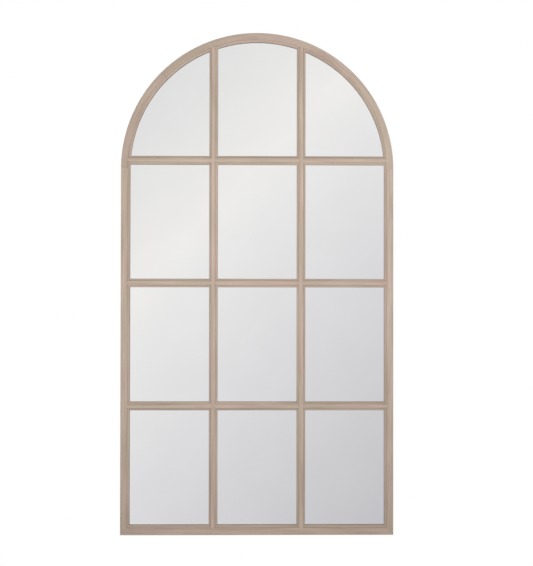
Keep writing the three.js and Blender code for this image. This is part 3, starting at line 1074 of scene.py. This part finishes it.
@finish("Hardboard")
def hardboard(start, c):
    """Pressed brown fibre with a smooth skin."""
    place = start.place()
    cloud = place.noise((14, 14, 14), 3.0).band(0.3, 0.7)
    strands = place.noise((700, 300, 420), 4.0, 0.7).band(0.35, 0.7)
    specks = place.noise((1500, 900, 1900), 1.0).band(0.62, 0.74)
    light = tuple(1.45 * part for part in c.hardboard)
    pale = tuple(min(1.0, 2.8 * part) for part in c.hardboard)
    dark = tuple(0.55 * part for part in c.hardboard)
    body = (0.55 * strands + 0.45 * cloud).mix(c.hardboard, light)
    body = (0.5 * specks).mix(body, pale)
    grit = place.noise((2300, 1700, 2300), 1.0).band(0.64, 0.75)
    return {
        "Base Color": (0.6 * grit).mix(body, dark),
        "Roughness": 0.48 + 0.22 * strands,
        "Normal": bumped(strands, 0.04 * MM, 0.5),
    }


@finish("Packing foam")
def packing_foam(start, c):
    """Pale foam with small cells."""
    place = start.place()
    cells = start.node("TexVoronoi", None, {"Vector": place, "Scale": 900.0})
    walls = cells.band(0.1, 0.6)
    shade = tuple(0.8 * part for part in c.foam)
    return {
        "Base Color": walls.mix(c.foam, shade),
        "Roughness": 0.9,
        "Normal": bumped(walls, 0.1 * MM),
    }


@finish("Zinced steel")
def zinced_steel(start, c):
    """Bright zinc with faint spangle, dulled in patches."""
    place = start.place()
    dull = place.noise((160, 160, 160), 3.0).band(0.35, 0.7)
    brush = place.noise((4200, 4200, 500), 1.0).band(0.4, 0.65)
    warm = (c.zinc[0] * 0.93, c.zinc[1] * 0.90, c.zinc[2] * 0.80)
    return {
        "Base Color": (0.55 * dull).mix(c.zinc, warm),
        "Metallic": 1.0,
        "Roughness": 0.24 + 0.14 * dull + 0.06 * brush,
        "Normal": bumped(brush, 0.01 * MM, 0.5),
    }


@finish("Black rubber")
def black_rubber(start, c):
    """Black rubber with a grey bloom."""
    place = start.place()
    bloom = place.noise((260, 260, 260), 3.0).band(0.4, 0.75)
    skin = place.noise((3500, 3500, 3500), 2.0)
    grey = tuple(part + 0.035 for part in c.rubber)
    return {
        "Base Color": (0.7 * bloom).mix(c.rubber, grey),
        "Roughness": 0.62 + 0.2 * bloom,
        "Normal": bumped(skin, 0.03 * MM),
    }


# ---- stage


CAMERA_SIDE, CAMERA_HEIGHT = -9.0 * MM, -283.9 * MM
CAMERA_YAW, CAMERA_PITCH, CAMERA_ROLL = (math.radians(turn) for turn in (0.732, 0.529, 0.081))
SENSOR = 36.0


def make_camera(stage):
    """Just left of the middle and at half height, turned a little right and up."""
    data = bpy.data.cameras.new("camera")
    data.sensor_fit = "VERTICAL"
    data.sensor_height = SENSOR
    data.sensor_width = SENSOR
    data.lens = stage.focal_pixels / stage.picture_height * SENSOR
    camera = shown("camera", data)
    turn = (
        Matrix.Rotation(-CAMERA_YAW, 4, "Z")
        @ Matrix.Rotation(math.pi / 2 + CAMERA_PITCH, 4, "X")
        @ Matrix.Rotation(CAMERA_ROLL, 4, "Z")
    )
    place = Matrix.Translation((CAMERA_SIDE, -stage.camera_distance, CAMERA_HEIGHT))
    camera.matrix_world = place @ turn
    bpy.context.scene.camera = camera


def make_lamp(name, place, aim, size, power, glossy, spread=180):
    data = bpy.data.lights.new(name, "AREA")
    data.shape = "DISK"
    data.size = size
    data.energy = power
    data.spread = math.radians(spread)
    lamp = shown(name, data)
    lamp.visible_glossy = glossy
    turn = (Vector(aim) - Vector(place)).to_track_quat("-Z", "Y")
    lamp.matrix_world = Matrix.Translation(place) @ turn.to_matrix().to_4x4()


def make_lamps(stage):
    aim = (0, 0, 0)
    make_lamp("front_lamp", (0.1, -1.7, 0.1), aim, 1.0, stage.lamp_power, False)
    low = stage.low_lamp_power
    make_lamp("low_lamp", (0, -2.2, -1.3), (0, 0, 0.5), 0.8, low, False, 90)
    make_lamp("back_lamp", (0.9, 2.2, 0.6), aim, 1.4, stage.back_lamp_power, True)


def rays(tree):
    """Whether a ray comes from the camera, off a glossy surface or through a clear one."""
    path = tree.nodes.new("ShaderNodeLightPath")
    kinds = ("Camera", "Glossy", "Transmission")
    return [Shade(tree, path.outputs["Is %s Ray" % kind]) for kind in kinds]


def make_world(stage):
    """White to the camera, an even room for matt surfaces, and in the mirror a pale wall that is
    brightest along a slanting band."""
    world = bpy.data.worlds.new("room")
    bpy.context.scene.world = world
    world.use_nodes = True
    tree = world.node_tree
    tree.nodes.clear()
    start = Shade(tree, None)
    aim = start.node("TexCoord", None, None, 0)
    lean = 0.97
    slant = start.maths("DIVIDE", aim.part(X) - lean * aim.part(Z), abs(aim.part(Y)))
    low, high = -0.45, 0.36
    stops = [
        (low, (0.719, 0.711, 0.717)),
        (-0.122, (0.935, 0.920, 0.906)),
        (0.10, (0.772, 0.763, 0.781)),
        (high, (0.597, 0.588, 0.611)),
    ]
    stops = [((place - low) / (high - low), tint) for place, tint in stops]
    reach_along = slant * (1 / (high - low)) - low / (high - low)
    wall = start.node("ValToRGB", {"stops": stops}, {0: reach_along})
    camera, glossy, through = rays(tree)
    level = stage.ambient
    tint = start.maths("MAXIMUM", glossy, through).mix((level, level, level), wall)
    tint = camera.mix(tint, (1, 1, 1))
    background = start.node("Background", None, {"Color": tint, "Strength": 1.0})
    start.node("OutputWorld", None, {"Surface": background})


def make_floor(stage):
    """A round pale floor. It holds a soft shadow under the mirror and fades to white outwards."""
    shape = bmesh.new()
    bmesh.ops.create_circle(
        shape, cap_ends=True, segments=FLOOR_SIDES, radius=stage.floor_radius
    )
    bmesh.ops.translate(shape, verts=shape.verts, vec=(0, 0, SILL - stage.floor_drop))
    mesh = meshed(shape, "floor")
    material = bpy.data.materials.new("Pale floor")
    material.cycles.emission_sampling = "NONE"  # its white is for the camera, and lights nothing
    material.use_nodes = True
    tree = material.node_tree
    tree.nodes.clear()
    start = Shade(tree, None)
    place = start.place()
    level = start.node("VectorMath", {"operation": "MULTIPLY"}, {0: place, 1: (1, 1, 0)})
    away = start.node("VectorMath", {"operation": "LENGTH"}, {0: level}, 1)
    camera, glossy, through = rays(tree)
    under = start.node("NewGeometry", None, None, "Backfacing")
    matt = start.node("BsdfDiffuse", None, {"Color": (0.86, 0.86, 0.86, 1)})
    white = start.node("Emission", None, {"Color": (1, 1, 1, 1), "Strength": 1.0})
    share = camera * (0.5 + 0.5 * away.band(0.5, 1.15))
    surface = start.node("MixShader", None, {0: share, 1: matt, 2: white})
    clear = start.node("BsdfTransparent", None, None)
    beyond = start.maths("MAXIMUM", start.maths("MAXIMUM", glossy, through), under)
    surface = start.node("MixShader", None, {0: beyond, 1: surface, 2: clear})
    start.node("OutputMaterial", None, {"Surface": surface})
    mesh.materials.append(material)
    shown("floor", mesh)


# ---- operators and panel


class PieceOperator(bpy.types.Operator):
    """What every piece's operator shares: it runs its maker on the scene's sizes."""

    bl_options = {"REGISTER", "UNDO"}

    def execute(self, context):
        type(self).maker(context.scene)
        return {"FINISHED"}


class WINDOW_MIRROR_OT_stiles(PieceOperator):
    """Make the two stiles, mitred at the foot and housed for the cross bars"""

    bl_idname = "window_mirror.stiles"
    bl_label = "Stiles"
    maker = staticmethod(make_stiles)


class WINDOW_MIRROR_OT_bottom_rail(PieceOperator):
    """Make the bottom rail, mitred at both ends and housed for the upright bars"""

    bl_idname = "window_mirror.bottom_rail"
    bl_label = "Bottom Rail"
    maker = staticmethod(make_rail)


class WINDOW_MIRROR_OT_arch(PieceOperator):
    """Make the segments of the arch"""

    bl_idname = "window_mirror.arch"
    bl_label = "Arch"
    maker = staticmethod(make_arch)


class WINDOW_MIRROR_OT_glazing_bars(PieceOperator):
    """Make the upright and cross bars, halved over each other"""

    bl_idname = "window_mirror.glazing_bars"
    bl_label = "Glazing Bars"
    maker = staticmethod(make_bars)


class WINDOW_MIRROR_OT_tongues(PieceOperator):
    """Finish the loose tongues inside the frame's joints"""

    bl_idname = "window_mirror.tongues"
    bl_label = "Tongues"
    maker = staticmethod(make_tongues)


class WINDOW_MIRROR_OT_glass(PieceOperator):
    """Make the silvered glass"""

    bl_idname = "window_mirror.glass"
    bl_label = "Glass"
    maker = staticmethod(make_glass)


class WINDOW_MIRROR_OT_backing(PieceOperator):
    """Make the backing board and finish the packing in front of it"""

    bl_idname = "window_mirror.backing"
    bl_label = "Backing"
    maker = staticmethod(make_board)


class WINDOW_MIRROR_OT_screws(PieceOperator):
    """Make the pan-head screws"""

    bl_idname = "window_mirror.screws"
    bl_label = "Screws"
    maker = staticmethod(make_screws)


class WINDOW_MIRROR_OT_hangers(PieceOperator):
    """Make the strap hangers and their D-rings"""

    bl_idname = "window_mirror.hangers"
    bl_label = "Hangers"
    maker = staticmethod(make_hangers)


class WINDOW_MIRROR_OT_bumpers(PieceOperator):
    """Make the rubber bumpers"""

    bl_idname = "window_mirror.bumpers"
    bl_label = "Bumpers"
    maker = staticmethod(make_bumpers)


class WINDOW_MIRROR_OT_stage(bpy.types.Operator):
    """Make the camera, the lamps, the room and the floor"""

    bl_idname = "window_mirror.stage"
    bl_label = "Stage"
    bl_options = {"REGISTER", "UNDO"}

    def execute(self, context):
        stage = context.scene.mirror_stage
        context.scene.view_settings.view_transform = "Standard"
        make_camera(stage)
        make_world(stage)
        make_floor(stage)
        make_lamps(stage)
        return {"FINISHED"}


GROUPS = {
    "mirror_moulding": MouldingSizes,
    "mirror_bars": BarSizes,
    "mirror_sheets": SheetSizes,
    "mirror_fittings": FittingSizes,
    "mirror_colours": FinishColours,
    "mirror_stage": StageSettings,
}

OPERATORS = (
    WINDOW_MIRROR_OT_stage,
    WINDOW_MIRROR_OT_stiles,
    WINDOW_MIRROR_OT_bottom_rail,
    WINDOW_MIRROR_OT_arch,
    WINDOW_MIRROR_OT_glazing_bars,
    WINDOW_MIRROR_OT_tongues,
    WINDOW_MIRROR_OT_glass,
    WINDOW_MIRROR_OT_backing,
    WINDOW_MIRROR_OT_screws,
    WINDOW_MIRROR_OT_hangers,
    WINDOW_MIRROR_OT_bumpers,
)


class VIEW3D_PT_window_mirror(bpy.types.Panel):
    """Sizes, colours and makers of the window mirror"""

    bl_label = "Window Mirror"
    bl_space_type = "VIEW_3D"
    bl_region_type = "UI"
    bl_category = "Window Mirror"

    def draw(self, context):
        for operator in OPERATORS:
            self.layout.operator(operator.bl_idname)
        for attribute, group in GROUPS.items():
            box = self.layout.box()
            for name in group.__annotations__:
                box.prop(getattr(context.scene, attribute), name)


def register():
    for group in (*GROUPS.values(), *OPERATORS, VIEW3D_PT_window_mirror):
        bpy.utils.register_class(group)
    for attribute, group in GROUPS.items():
        setattr(bpy.types.Scene, attribute, PointerProperty(type=group))


def unregister():
    for attribute in GROUPS:
        delattr(bpy.types.Scene, attribute)
    for group in reversed((*GROUPS.values(), *OPERATORS, VIEW3D_PT_window_mirror)):
        bpy.utils.unregister_class(group)


def main():
    register()
    for operator in OPERATORS:
        category, name = operator.bl_idname.split(".")
        getattr(getattr(bpy.ops, category), name)()


if __name__ == "__main__":
    main()
